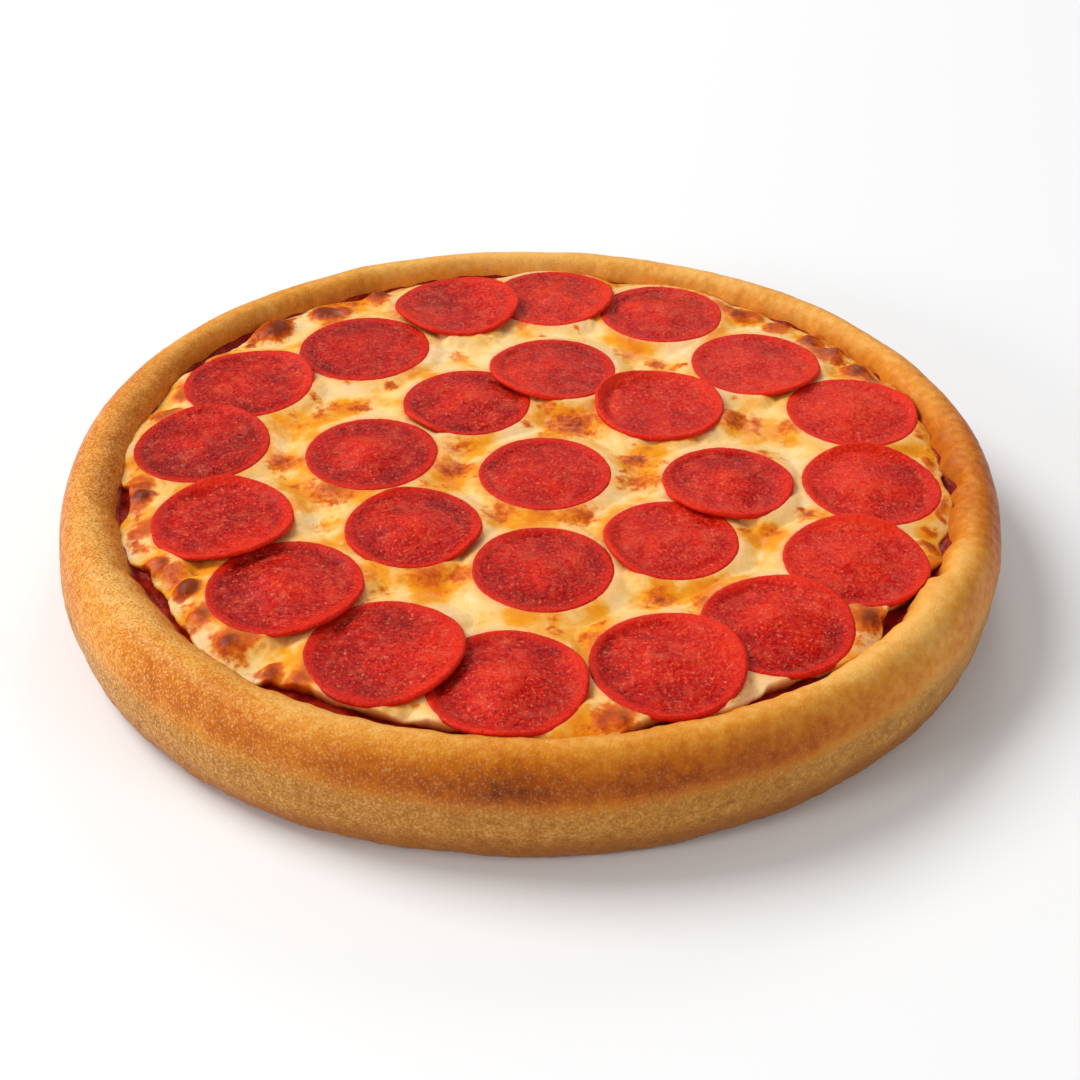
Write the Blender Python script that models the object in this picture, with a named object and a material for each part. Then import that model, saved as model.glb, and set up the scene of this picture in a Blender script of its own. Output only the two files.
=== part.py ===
"""A thick-crust pepperoni pizza, whole and uncut, at its real size.

The crust is one solid: a deep slab of dough with a raised rim. A sheet of sauce and a layer of
melted cheese lie in the rim, and 25 pepperoni slices lie on the cheese in two rings and a middle.
Slices that overlap are draped over each other in the order in which they were laid.
Lengths are in metres, +Z is up, and the origin is the middle of the underside.
"""

import math

import bpy
import numpy as np
from mathutils import Vector, noise

MM = 0.001

# Crust: a slab of dough, its raised rim, and where the rim swells or pinches.
CRUST_RADIUS = 150 * MM
CROWN_HEIGHT = 36.5 * MM
CROWN_INSET = 10.0 * MM
FOOT_INSET = 18.0 * MM
FLOOR_HEIGHT = 24.5 * MM
BULGE_HEIGHT = 17.0 * MM
UNDERSIDE_INSET = 6.5 * MM
RIM_SEGMENTS = 96
UNDER_STEPS = 4
SHOULDER_STEPS = 6
INNER_STEPS = 5
OUTER_FULLNESS = 0.82
# Each swell is where round the rim, in degrees, how wide, in degrees, and how far it goes, in mm.
OUTLINE_SWELLS = ((-130, 18, 1.8), (180, 14, -1.2), (150, 15, 0.7), (-92, 18, -0.8), (-45, 12, -0.6))
CROWN_SWELLS = ((-150, 20, 0.5), (-75, 25, 0.6), (-10, 16, -0.8), (40, 20, 0.6), (100, 25, -0.5))
FOOT_SWELLS = (
    (-165, 28, -2.8), (-75, 20, 0.4), (-35, 6, -0.8), (-16, 5, 0.9), (5, 12, 1.4), (37, 8, 3.6),
    (56, 10, 1.4), (95, 20, 2.4), (145, 12, 3.4), (165, 6, -1.0),
)
RIM_RELIEF = 0.35 * MM
RIM_RELIEF_SCALE = 22 * MM
OUTLINE_STEP = 0.5
SHARP_ANGLE = 50

# Sauce: a sheet on the floor of the crust, smeared a little up the rim.
TOUCHING_GAP = 0.3 * MM
SAUCE_THICKNESS = 2.2 * MM
SAUCE_SMEAR = 1.2 * MM
SAUCE_INSET = 5.0 * MM
SMEAR_TURNS = 6

# Cheese: a gently domed layer with an uneven edge, which draws back where the sauce shows.
CHEESE_MIDDLE_HEIGHT = 31.6 * MM
CHEESE_DROP = 2.2 * MM
CHEESE_DROP_RADIUS = 128 * MM
CHEESE_EDGE_ROUND = 1.6 * MM
CHEESE_SEGMENTS = 120
CHEESE_RINGS = (0.16, 0.34, 0.52, 0.68, 0.80, 0.88, 0.94)
CHEESE_WAVE = 0.35 * MM
CHEESE_WAVE_SCALE = 28 * MM
CHEESE_MARGIN = 1.2 * MM
CHEESE_RAGGED = 1.0 * MM
CHEESE_RAGGED_TURNS = 5
CHEESE_SIDE_SHARE = 0.35
# Where the cheese draws back from the rim, in degrees, how wide, in degrees, and how far, in mm.
SAUCE_SHOWS = (
    (-171, 4, 1.0), (-146, 5, 2.0), (-114, 6, 3.2), (-98, 6, 2.4), (-73, 4, 3.0), (-58, 6, 2.6),
    (-33, 4, 2.6), (-17, 5, 1.4), (2, 6, 1.6), (119, 7, 1.6), (144, 6, 2.8), (153, 4, 1.4),
)

# Browned lumps near the cheese's edge: where each is, in degrees and mm from the middle, its width
# from the top to the slope's end, and its height, in mm.
EDGE_LUMPS = (
    (137, 127, 6.0, 2.1), (126, 125, 6.0, 1.4), (117, 126, 4.0, 1.2), (153, 127, 4.0, 1.2),
    (161, 125, 3.5, 1.2), (167, 125, 4.5, 1.4), (-174, 124, 4.0, 1.4), (-170, 123, 4.5, 1.5),
    (-162, 124, 4.0, 1.2), (-153, 125, 3.2, 1.5), (-150, 121, 3.2, 1.2), (-146, 121, 3.5, 1.6),
    (-139, 123, 4.2, 1.8), (-132, 123, 5.0, 2.2), (-124, 126, 3.0, 1.2), (-120, 124, 3.8, 1.4),
    (-80, 126, 4.5, 1.4), (-40, 124, 5.5, 0.9), (22, 129, 4.0, 1.0), (28, 128, 4.5, 1.3),
    (34, 126, 5.0, 2.0), (39, 128, 4.0, 1.6), (46, 127, 4.0, 1.3), (52, 127, 5.0, 1.5), (57, 126, 4.0, 1.2),
)

# Pepperoni slices.
SLICE_THICKNESS = 1.6 * MM
SLICE_SEGMENTS = 20
SLICE_LATTICE = (0.0, 0.2, 0.4, 0.6, 0.8, 1.0)
SLICE_TOP_RINGS = (2, 3, 4, 5)
SLICE_UNDER_RINGS = (5, 3)
SLICE_LIP = 0.5 * MM
SLICE_LIP_FROM = 0.8
SLICE_DOME_EDGE = 0.72
SLICE_EDGE_ROUND = 0.4 * MM
DRAPE_STEPS = 7
DRAPE_REACH = 3.2 * MM
BED_REACH = 0.7 * MM
REACH_TURNS = 8
OUTER_SLICE = 44.4 * MM
INNER_SLICE = 42.0 * MM
OUTER_RING = 107 * MM
OUTER_RING_START = 106.0
OUTER_RING_STEP = -22.5
INNER_RING = 55 * MM
INNER_RING_START = 82.0
INNER_RING_STEP = -45.0
# For each slice, clockwise from the back: how far it is turned off its even place, in degrees, and
# moved off its ring, in mm, how much wider it is than the rest, in mm, and how high it domes, in mm.
# A slice with a negative dome is cupped: its edge rises by as much.
OUTER_SLICES = (
    (-1.4, -1.0, 0.5, -1.0), (2.3, 4.6, 0.6, 1.5), (3.6, 3.6, 0.5, 3.0), (0.1, -6.6, 0.5, 0.5),
    (0.4, 5.2, -0.6, 2.4), (-0.2, 1.6, -0.6, 2.5), (0.1, 3.9, -0.5, 2.6), (1.3, 3.0, 0.1, 3.7),
    (4.5, 2.1, -0.3, 1.5), (3.3, 3.6, 1.0, 4.0), (6.6, -1.8, 1.0, 1.5), (5.3, -8.6, 2.0, 3.2),
    (4.4, -7.1, -0.6, -0.8), (1.8, -0.3, -0.3, 3.0), (2.4, 0.6, 0.4, 1.8), (0.5, -14.2, 1.8, 2.0),
)
INNER_SLICES = (
    (0.1, 2.2, 1.6, 2.2), (-0.4, -1.2, 1.0, -1.4), (-3.9, 8.6, -0.5, 2.8), (7.1, 6.5, -1.0, 1.1),
    (11.9, 4.3, 0.3, 2.0), (10.8, -2.5, 0.0, 3.8), (4.8, -4.1, 0.9, 4.0), (-5.6, -14.5, 1.0, 3.1),
)
MIDDLE_SLICE_AT = (4.9 * MM, -8.3 * MM)
MIDDLE_SLICE_DOME = 1.6 * MM
# The order in which the slices were laid, by number; 17 to 24 are the inner ring, 25 the middle.
LAYING_ORDER = (16, 15, 14, 3, 2, 1, 5, 4, 6, 7, 8, 9, 10, 11, 12, 13, 21, 20, 19, 23, 24, 17, 18, 22, 25)

# Base colour, roughness and metallic value of each material.
FINISHES = {
    "crust": ((0.60, 0.33, 0.10), 0.60, 0.0),
    "sauce": ((0.25, 0.02, 0.01), 0.25, 0.0),
    "cheese": ((0.83, 0.66, 0.31), 0.35, 0.0),
    "pepperoni": ((0.55, 0.04, 0.02), 0.40, 0.0),
}


def swell(angle, swells):
    """Sum of the swells at an angle in radians, in metres."""
    total = 0.0
    for centre, width, height in swells:
        off = (math.degrees(angle) - centre + 180) % 360 - 180
        total += height * MM * math.exp(-0.5 * (off / width) ** 2)
    return total


def outline_radius(angle):
    return CRUST_RADIUS + swell(angle, OUTLINE_SWELLS)


def outline_middle():
    """Middle of the crust's bounding box, before it is put on the origin."""
    angles = np.radians(np.arange(0, 360, OUTLINE_STEP))
    radii = np.array([outline_radius(a) for a in angles])
    x, y = radii * np.cos(angles), radii * np.sin(angles)
    return (x.max() + x.min()) / 2, (y.max() + y.min()) / 2


MIDDLE_X, MIDDLE_Y = outline_middle()


def crown_radius(angle):
    return outline_radius(angle) - CROWN_INSET


def crown_height(angle):
    return CROWN_HEIGHT + swell(angle, CROWN_SWELLS)


def foot_radius(angle):
    """Where the rim's inner side meets the floor."""
    return CRUST_RADIUS - FOOT_INSET + swell(angle, FOOT_SWELLS)


def wall_height(angle, radius):
    """Height of the rim's inner side at a radius, and the floor's inside the foot."""
    crown, foot = crown_radius(angle), foot_radius(angle)
    share = min(max((crown - radius) / (crown - foot), 0.0), 1.0)
    return FLOOR_HEIGHT + (crown_height(angle) - FLOOR_HEIGHT) * math.sqrt(1 - share * share)


def cheese_edge_radius(angle):
    """The cheese's ragged edge."""
    turned = Vector((math.cos(angle), math.sin(angle), 0)) * CHEESE_RAGGED_TURNS
    ragged = CHEESE_RAGGED * noise.noise(turned)
    return foot_radius(angle) - CHEESE_MARGIN - swell(angle, SAUCE_SHOWS) - abs(ragged)


def slice_places():
    """x, y, radius and dome height of every slice, in the order of their numbers."""
    rings = (
        (OUTER_SLICES, OUTER_RING, OUTER_RING_START, OUTER_RING_STEP, OUTER_SLICE),
        (INNER_SLICES, INNER_RING, INNER_RING_START, INNER_RING_STEP, INNER_SLICE),
    )
    places = []
    for slices, ring, start, step, width in rings:
        for i, (turned, moved, wider, dome) in enumerate(slices):
            angle = math.radians(start + step * i + turned)
            radius = ring + moved * MM
            place = (radius * math.cos(angle), radius * math.sin(angle))
            places.append((*place, (width + wider * MM) / 2, dome * MM))
    places.append((*MIDDLE_SLICE_AT, INNER_SLICE / 2, MIDDLE_SLICE_DOME))
    return places


def edge_lumps():
    """x, y, radius and height of the browned lumps."""
    lumps = []
    for turned, radius, width, height in EDGE_LUMPS:
        angle = math.radians(turned)
        place = (radius * MM * math.cos(angle), radius * MM * math.sin(angle))
        lumps.append((*place, width * MM, height * MM))
    return lumps


LUMPS = edge_lumps()


def cheese_height(x, y):
    drop = CHEESE_DROP * (math.hypot(x, y) / CHEESE_DROP_RADIUS) ** 3
    wave = CHEESE_WAVE * noise.noise(Vector((x, y, 0)) / CHEESE_WAVE_SCALE)
    lumps = sum(
        height * math.exp(-((x - lx) ** 2 + (y - ly) ** 2) / size**2) for lx, ly, size, height in LUMPS
    )
    return CHEESE_MIDDLE_HEIGHT - drop + wave + lumps


def bed_height(x, y):
    """Top of the cheese, or of the rim's inner side where that is higher."""
    return max(cheese_height(x, y), wall_height(math.atan2(y, x), math.hypot(x, y)))


def around(place, reach):
    """A place and a ring of places at a reach from it."""
    x, y = place
    turns = [math.tau * i / REACH_TURNS for i in range(REACH_TURNS)]
    return [place] + [(x + reach * math.cos(t), y + reach * math.sin(t)) for t in turns]


def ring_points(radius_at, height_at, segments):
    """One closed ring of points round the middle."""
    angles = [math.tau * i / segments for i in range(segments)]
    return [(radius_at(a) * math.cos(a), radius_at(a) * math.sin(a), height_at(a)) for a in angles]


def solid_from_rings(name, rings, middle=(0.0, 0.0), top=None, bottom=None):
    """Closed solid through rings that run from its top, over its side, to its underside.

    A top or bottom height closes that end with a fan to the middle, and without one it is flat.
    """
    count = len(rings[0])
    points = [p for ring in rings for p in ring]
    faces = []
    for r in range(len(rings) - 1):
        for i in range(count):
            j = (i + 1) % count
            faces.append((r * count + i, (r + 1) * count + i, (r + 1) * count + j, r * count + j))
    last = (len(rings) - 1) * count
    if top is None:
        faces.append(tuple(range(count)))
    else:
        points.append((*middle, top))
        faces += [(len(points) - 1, i, (i + 1) % count) for i in range(count)]
    if bottom is None:
        faces.append(tuple(last + i for i in reversed(range(count))))
    else:
        points.append((*middle, bottom))
        faces += [(len(points) - 1, last + (i + 1) % count, last + i) for i in range(count)]
    mesh = bpy.data.meshes.new(name)
    mesh.from_pydata([(x - MIDDLE_X, y - MIDDLE_Y, z) for x, y, z in points], [], faces)
    mesh.validate()
    mesh.shade_smooth()
    mesh.set_sharp_from_angle(angle=math.radians(SHARP_ANGLE))
    return mesh


def material(slot):
    colour, roughness, metallic = FINISHES[slot]
    made = bpy.data.materials.new(slot)
    made.use_nodes = True
    shader = made.node_tree.nodes["Principled BSDF"]
    shader.inputs["Base Color"].default_value = (*colour, 1.0)
    shader.inputs["Roughness"].default_value = roughness
    shader.inputs["Metallic"].default_value = metallic
    return made


def add_part(name, mesh, finish):
    mesh.materials.append(finish)
    part = bpy.data.objects.new(name, mesh)
    bpy.context.scene.collection.objects.link(part)
    return part


def superellipse(turn):
    """Cosine and sine of a turn in radians, pushed out to a fuller curve."""
    return math.cos(turn) ** OUTER_FULLNESS, math.sin(turn) ** OUTER_FULLNESS


def crust_mesh():
    """The rim's section at each angle, from the floor over the crown and down to the underside."""

    def relief(x, y, z):
        return RIM_RELIEF * noise.noise(Vector((x, y, z)) / RIM_RELIEF_SCALE)

    def pushed(point):
        x, y, z = point
        out = 1 + relief(x, y, z) / math.hypot(x, y)
        return x * out, y * out, z + relief(y, z, x)

    rings = []
    for i in range(INNER_STEPS + 1):
        turn = math.pi / 2 * i / INNER_STEPS
        ring = ring_points(
            lambda a: crown_radius(a) - (crown_radius(a) - foot_radius(a)) * math.cos(turn),
            lambda a: FLOOR_HEIGHT + (crown_height(a) - FLOOR_HEIGHT) * math.sin(turn),
            RIM_SEGMENTS,
        )
        rings.append(ring)
    for i in range(1, SHOULDER_STEPS + 1):
        across, up = superellipse(math.pi / 2 * (1 - i / SHOULDER_STEPS))
        ring = ring_points(
            lambda a: outline_radius(a) - CROWN_INSET * (1 - across),
            lambda a: BULGE_HEIGHT + (crown_height(a) - BULGE_HEIGHT) * up,
            RIM_SEGMENTS,
        )
        rings.append([pushed(p) for p in ring])
    for i in range(1, UNDER_STEPS + 1):
        turn = math.pi / 2 * i / UNDER_STEPS
        ring = ring_points(
            lambda a: outline_radius(a) - UNDERSIDE_INSET * (1 - math.cos(turn)),
            lambda a: BULGE_HEIGHT * (1 - math.sin(turn)),
            RIM_SEGMENTS,
        )
        rings.append(ring)
    return solid_from_rings("crust", rings)


def sauce_mesh():
    """A sheet on the floor, higher where it is smeared up the rim."""
    low = FLOOR_HEIGHT + TOUCHING_GAP
    level = low + SAUCE_THICKNESS

    def smear_height(angle):
        turned = Vector((math.cos(angle), math.sin(angle), 0)) * SMEAR_TURNS
        return level + SAUCE_SMEAR * abs(noise.noise(turned))

    def edge_radius(angle):
        return foot_radius(angle) - TOUCHING_GAP

    rings = [
        ring_points(lambda a: edge_radius(a) - SAUCE_INSET, lambda a: level, RIM_SEGMENTS),
        ring_points(lambda a: edge_radius(a) - TOUCHING_GAP, smear_height, RIM_SEGMENTS),
        ring_points(edge_radius, lambda a: low, RIM_SEGMENTS),
    ]
    return solid_from_rings("sauce", rings)


def cheese_mesh():
    """The layer's top with its lumps, a rounded edge and a flat underside on the sauce."""
    low = FLOOR_HEIGHT + SAUCE_THICKNESS + 2 * TOUCHING_GAP
    smear = SAUCE_SMEAR + TOUCHING_GAP
    angles = [math.tau * i / CHEESE_SEGMENTS for i in range(CHEESE_SEGMENTS)]
    rings = []
    for share in CHEESE_RINGS:
        reaches = [cheese_edge_radius(a) * share for a in angles]
        places = [(math.cos(a) * reach, math.sin(a) * reach) for a, reach in zip(angles, reaches)]
        rings.append([(x, y, cheese_height(x, y)) for x, y in places])
    brim, side, under = [], [], []
    for a in angles:
        edge = cheese_edge_radius(a)
        x, y = math.cos(a), math.sin(a)
        inner = edge - CHEESE_EDGE_ROUND
        top = cheese_height(x * inner, y * inner)
        brim.append((x * inner, y * inner, top))
        side.append((x * edge, y * edge, low + smear + (top - low - smear) * CHEESE_SIDE_SHARE))
        under.append((x * (edge - SAUCE_INSET), y * (edge - SAUCE_INSET), low))
    return solid_from_rings("cheese", [*rings, brim, side, under], top=cheese_height(0, 0))


class LaidSlice:
    """One pepperoni slice, draped over the cheese, the rim's foot and the slices laid before it."""

    def __init__(self, x, y, radius, dome, laid):
        self.x, self.y, self.radius, self.dome = x, y, radius, dome
        self.turns = np.arange(SLICE_SEGMENTS) * math.tau / SLICE_SEGMENTS
        shares = np.array(SLICE_LATTICE)
        self.px = x + radius * np.outer(shares, np.cos(self.turns))
        self.py = y + radius * np.outer(shares, np.sin(self.turns))
        ground = self.ground_under(laid)
        rest = ground.copy()
        for _ in range(DRAPE_STEPS):
            rest = np.maximum(ground, self.smoothed(rest))
        self.under = rest + self.own_form(shares)[:, None]

    def own_form(self, shares):
        """A dome in the middle, or a cup, and a lip along the edge."""
        dome = max(self.dome, 0) * np.cos(np.clip(shares / SLICE_DOME_EDGE, 0, 1) * math.pi / 2) ** 2
        cup = max(-self.dome, 0) * shares**2
        lip = SLICE_LIP * np.clip((shares - SLICE_LIP_FROM) / (1 - SLICE_LIP_FROM), 0, 1)
        return dome + cup + lip

    def smoothed(self, heights):
        """Each height averaged with its neighbours along the ring and across the rings."""
        along = (np.roll(heights, 1, axis=1) + np.roll(heights, -1, axis=1)) / 2
        across = heights.copy()
        across[1:-1] = (heights[:-2] + heights[2:]) / 2
        across[-1] = heights[-2]
        mixed = (heights + along + across) / 3
        mixed[0] = heights[1].mean()
        return mixed

    def ground_under(self, laid):
        """Highest thing under each lattice point, looked for a short way round it as well."""
        ground = np.zeros(self.px.shape)
        for index in np.ndindex(self.px.shape):
            place = (self.px[index], self.py[index])
            heights = [bed_height(*p) for p in around(place, BED_REACH)]
            for p in around(place, DRAPE_REACH):
                heights += [other.top_at(*p) for other in laid if other.covers(*p)]
            ground[index] = max(heights) + TOUCHING_GAP
        ground[0] = ground[0].max()
        return ground

    def covers(self, x, y):
        return math.hypot(x - self.x, y - self.y) < self.radius

    def top_at(self, x, y):
        """Height of the upper face at a point, from the four lattice points round it."""
        off = math.hypot(x - self.x, y - self.y) / self.radius * (len(SLICE_LATTICE) - 1)
        turn = math.atan2(y - self.y, x - self.x) % math.tau / math.tau * SLICE_SEGMENTS
        ring, seg = min(int(off), len(SLICE_LATTICE) - 2), int(turn) % SLICE_SEGMENTS
        corners = [self.under[r][s % SLICE_SEGMENTS] for r in (ring, ring + 1) for s in (seg, seg + 1)]
        return max(corners) + SLICE_THICKNESS

    def mesh(self, name):
        """Rings from the top's middle out, over the rounded edge and back underneath."""

        def ring(index, lift, share=1.0):
            x = self.x + (self.px[index] - self.x) * share
            y = self.y + (self.py[index] - self.y) * share
            return list(zip(x.tolist(), y.tolist(), (self.under[index] + lift).tolist()))

        rounded = 1 - SLICE_EDGE_ROUND / self.radius
        rings = [ring(i, SLICE_THICKNESS) for i in SLICE_TOP_RINGS[:-1]]
        rings.append(ring(SLICE_TOP_RINGS[-1], SLICE_THICKNESS, rounded))
        rings += [ring(i, 0.0) for i in SLICE_UNDER_RINGS]
        middle = float(self.under[0][0])
        return solid_from_rings(name, rings, (self.x, self.y), middle + SLICE_THICKNESS, middle)


def main():
    for thing in list(bpy.data.objects):
        bpy.data.objects.remove(thing)
    add_part("crust", crust_mesh(), material("crust"))
    add_part("sauce", sauce_mesh(), material("sauce"))
    add_part("cheese", cheese_mesh(), material("cheese"))
    pepperoni = material("pepperoni")
    places = slice_places()
    laid = []
    for number in LAYING_ORDER:
        name = f"pepperoni_{number:02d}"
        laid.append(LaidSlice(*places[number - 1], laid))
        add_part(name, laid[-1].mesh(name), pepperoni)


main()
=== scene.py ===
# Looks of the pepperoni pizza: fine crust, sauce, cheese and slices over the solids, and the stage.
import math

import bpy
import numpy as np
from mathutils import Matrix, Vector, noise
from mathutils.bvhtree import BVHTree


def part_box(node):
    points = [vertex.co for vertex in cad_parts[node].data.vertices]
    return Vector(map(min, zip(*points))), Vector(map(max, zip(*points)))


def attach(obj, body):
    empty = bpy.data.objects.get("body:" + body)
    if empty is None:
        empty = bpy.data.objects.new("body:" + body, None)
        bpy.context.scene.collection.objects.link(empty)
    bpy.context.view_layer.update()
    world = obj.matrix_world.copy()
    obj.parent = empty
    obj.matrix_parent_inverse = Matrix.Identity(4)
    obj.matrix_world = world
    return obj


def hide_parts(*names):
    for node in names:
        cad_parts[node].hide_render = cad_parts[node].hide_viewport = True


MM = 0.001

# Camera: where it stands, how far down it looks, its lens and its framing.
CAMERA_AT = (-0.0005, -0.5052, 0.3607)
CAMERA_DOWN = 34.40
CAMERA_ROLL = 0.28
CAMERA_LENS = 62.55
CAMERA_SHIFT = (0.0097, -0.0308)

# Lights: name, place, what each shines at, width in metres and power in watts.
LIGHTS = (
    ("key", (-2.20, 1.10, 2.60), (0, 0, 0.03), 2.00, 100),
    ("back", (0.30, 2.20, 1.50), (0, 0, 0.03), 0.8, 9),
    ("side", (-1.20, -0.80, 0.60), (-0.05, -0.05, 0.03), 0.4, 7),
    ("fill", (1.60, -0.90, 1.10), (0, 0, 0.03), 0.9, 6),
)
SKY_STRENGTH = 0.32
FLOOR_HALF = 4.0
FLOOR_DROP = 0.2 * MM
FLOOR_SHADE = 0.92

# Crust: the fine mesh is read from the solid along rays out of the middle of the rim's section.
RIM_TURNS = 960
RIM_SECTION = 100
SECTION_MIDDLE = (139 * MM, 18 * MM)
SECTION_FROM = 27.0
SECTION_TO = 306.0
SECTION_TRACK = 400
RIM_SOFTEN = (9.0, 2.0)
# Stretches of the section, in degrees from the floor inside, over the crown and down the outside.
# Each slope is given by where it starts and ends, each bell by its middle and width. The border
# between the crown and the side wanders by so many degrees.
INNER_START, INNER_END = (40, 50), (72, 92)
SIDE_START, SIDE_END = (142, 178), (262, 270)
SIDE_RAGGED = 9
SHOULDER = (136, 24)
CREST = (92, 16)
UNDER_START = (216, 236)
BASE_START, BASE_END = (200, 232), (252, 262)
STAIN_END = (74, 90)
STAIN_HEIGHT = (29 * MM, 35.5 * MM)
# Where round the pizza the inner face is most scalloped and stained, the crust grittiest, and its
# shoulder darkest, partly baked and partly painted shade on the front, which faces away from the light:
# middle and width in degrees. Then how gritty it is all round, and there more.
RIGHT_SIDE = (352, 40)
# On the gritty side the pale grain specks are partly painted glints, where the light falls.
GRITTY_GLINTING_SIDE = (200, 50)
BAKED_AND_SHADED_SIDE = (-85, 42)
GRIT = (0.10, 0.42)
# Relief of the crust: size of its waves in mm, seed, and height in mm, then how much more on the side.
CRUST_RELIEF = ((34, 1, 0.60, 0.0), (9, 2, 0.16, 0.12), (2.4, 4, 0.05, 0.12))
# Size of the scallops of the inner face on a circle with radius 1.
SCALLOP_SIZE = 0.075
# Size of the pores, and their depth, then how much deeper they are on the side.
PORE_SIZE = 2.0 * MM
PORE_DEPTH = (0.08 * MM, 0.22 * MM)
# How strongly the crust is baked: the whole, then more or less by stretch and in patches.
BAKE_ALL = 0.34
BAKE_SHOULDER = 0.40
# The crest's share makes it paler: partly its own lighter bake, partly a painted highlight.
BAKE_CREST_AND_HIGHLIGHT = -0.16
BAKE_UNDER = 0.30
BAKE_PATCHES = 0.14
# How much more or less the rim is baked round the pizza: angles in degrees, and shares.
BAKE_ROUND = (
    (0, 30, 60, 90, 130, 180, 215, 240, 270, 300, 318, 335, 350),
    (0.28, 0.04, -0.10, -0.18, 0.02, 0.15, -0.08, -0.10, 0.08, 0.00, -0.32, -0.06, 0.24),
)

# Sauce: a ring under the cheese's edge that runs up to the rim.
SAUCE_FROM = 112 * MM
SAUCE_RINGS = 26
SAUCE_TOP = 27.6 * MM
SAUCE_CLIMB = 29.4 * MM
SAUCE_OVERLAP = 0.3 * MM

# Cheese: cells across, rows down its side, and where its edge is read from the solid and from the rim.
CHEESE_CELLS = 290
CHEESE_SIDE = 5
CHEESE_BOTTOM = 27.5 * MM
CHEESE_BRIM = 0.9 * MM
EDGE_TURNS = 1440
EDGE_RADIUS = 128 * MM
# The solid's edge is read inwards from this radius at this height.
EDGE_READ = (145 * MM, 29.0 * MM)
EDGE_SOFTEN = 5
EDGE_RAG = 1.1 * MM
EDGE_OVERLAP = 0.6 * MM
# The rim's inner face is read up to this degree of its section, at the height of the cheese's edge.
WALL_TO = 80
WALL_AT = 29.8 * MM
# A gap to the rim between these widths turns from closed to open, where the sauce shows.
SAUCE_GAP = (3.2 * MM, 4.6 * MM)
# The solid's top is softened over so many cells in the middle and near the edge.
SOFTEN_MIDDLE = 6
SOFTEN_EDGE = 3.5
SOFTEN_CHANGE = (104 * MM, 114 * MM)
# The browned spots have a yellow halo, softened over so many cells, and weaker beyond this change.
HALO_SOFTEN = 5
HALO_CHANGE = (106 * MM, 118 * MM)
# Beside a slice the cheese climbs over a reach to a little under the slice's edge, but no higher than
# the rise, and passes under it with a gap. Orange oil stains it over a shorter reach.
CLING_UNDER = 0.40 * MM
CLING_RISE = 4.6 * MM
CLING_REACH = 4.8 * MM
UNDER_SLICE = 0.15 * MM
OIL_REACH = 2.3 * MM
# Browned lumps near the edge: place in degrees and mm from the middle, width and height in mm.
EDGE_LUMPS = (
    (137, 127, 6.0, 2.1), (126, 125, 6.0, 1.4), (117, 126, 4.0, 1.2), (153, 127, 4.0, 1.2),
    (161, 125, 3.5, 1.2), (167, 125, 4.5, 1.4), (-174, 124, 4.0, 1.4), (-170, 123, 4.5, 1.5),
    (-162, 124, 4.0, 1.2), (-153, 125, 3.2, 1.5), (-150, 121, 3.2, 1.2), (-146, 121, 3.5, 1.6),
    (-139, 123, 4.2, 1.8), (-132, 123, 5.0, 2.2), (-124, 126, 3.0, 1.2), (-120, 124, 3.8, 1.4),
    (-80, 126, 4.5, 1.4), (-40, 124, 5.5, 0.9), (22, 129, 4.0, 1.0), (28, 128, 4.5, 1.3),
    (34, 126, 5.0, 2.0), (39, 128, 4.0, 1.6), (46, 127, 4.0, 1.3), (52, 127, 5.0, 1.5),
    (57, 126, 4.0, 1.2),
)
# How far a lump spreads past its width, and how much of its height the fine cheese adds.
LUMP_SPREAD = 1.30
LUMP_DOME = 0.75
# How strongly the cheese is browned along its edge: angles in degrees, and shares.
EDGE_BROWNING = (
    (0, 15, 25, 55, 66, 110, 120, 150, 165, 185, 190, 240, 250, 305, 320, 355),
    (0.6, 0.6, 0.95, 0.95, 0.3, 0.3, 0.8, 0.8, 0.3, 0.3, 0.55, 0.55, 0.35, 0.35, 0.7, 0.7),
)
# The browned strip lies so far in from the edge and is so wide, in mm.
STRIP_INWARD = 4.0
STRIP_WIDTH = 3.2
# Toasted spots between the slices: x, y and width in mm, and how dark.
TOASTED_SPOTS = (
    (-58, 35, 4, 0.8), (-70, 29, 4, 0.4), (-78, 21, 4, 0.3), (-48, 47, 2, 0.8), (-79, -1, 5, 0.7),
    (-61, -18, 7, 0.7), (-26, 69, 4, 0.4), (-25, -5, 5, 0.9), (-23, 8, 5, 0.5), (14, 23, 7, 1.0),
    (43, 64, 3, 0.7), (34, 72, 5, 0.4), (68, 26, 6, 0.8), (33, 2, 4, 0.9), (35, -12, 6, 0.6),
    (15, -31, 6, 0.6), (3, -29, 4, 0.7), (-10, -30, 5, 0.6), (-30, -62, 5, 0.8), (-21, -62, 4, 0.7),
    (73, -37, 3, 0.5), (86, -29, 3, 0.8), (38, -71, 4, 0.8), (50, -74, 4, 0.6), (85, 22, 4, 0.6),
    (-63, -36, 4, 0.4), (-4, 90, 3, 0.4), (55, -65, 4, 0.4),
)
# How far a spot spreads past its width, and how much shorter it is from front to back.
SPOT_SPREAD = 1.25
SPOT_FLAT = 1.2

# Slices: fine rings and segments, and the order in which they were laid.
SLICE_THICKNESS = 1.6 * MM
SLICE_SEGMENTS = 128
SLICE_SHARES = (*np.linspace(0.02, 0.88, 27), 0.905, 0.925, 0.943, 0.958, 0.97, 0.981, 0.99, 0.997, 1.0)
SLICE_SOFTEN = (4.0, 2.2)
# Rings of the side and underside: share of the radius, and share of the thickness under the top.
UNDER_RINGS = ((1.004, 0.6), (1.003, 0.85), (0.99, 1.0), (0.95, 1.0), (0.7, 1.0), (0.35, 1.0), (0.05, 1.0))
LAYING_ORDER = (16, 15, 14, 3, 2, 1, 5, 4, 6, 7, 8, 9, 10, 11, 12, 13, 21, 20, 19, 23, 24, 17, 18, 22, 25)
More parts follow.
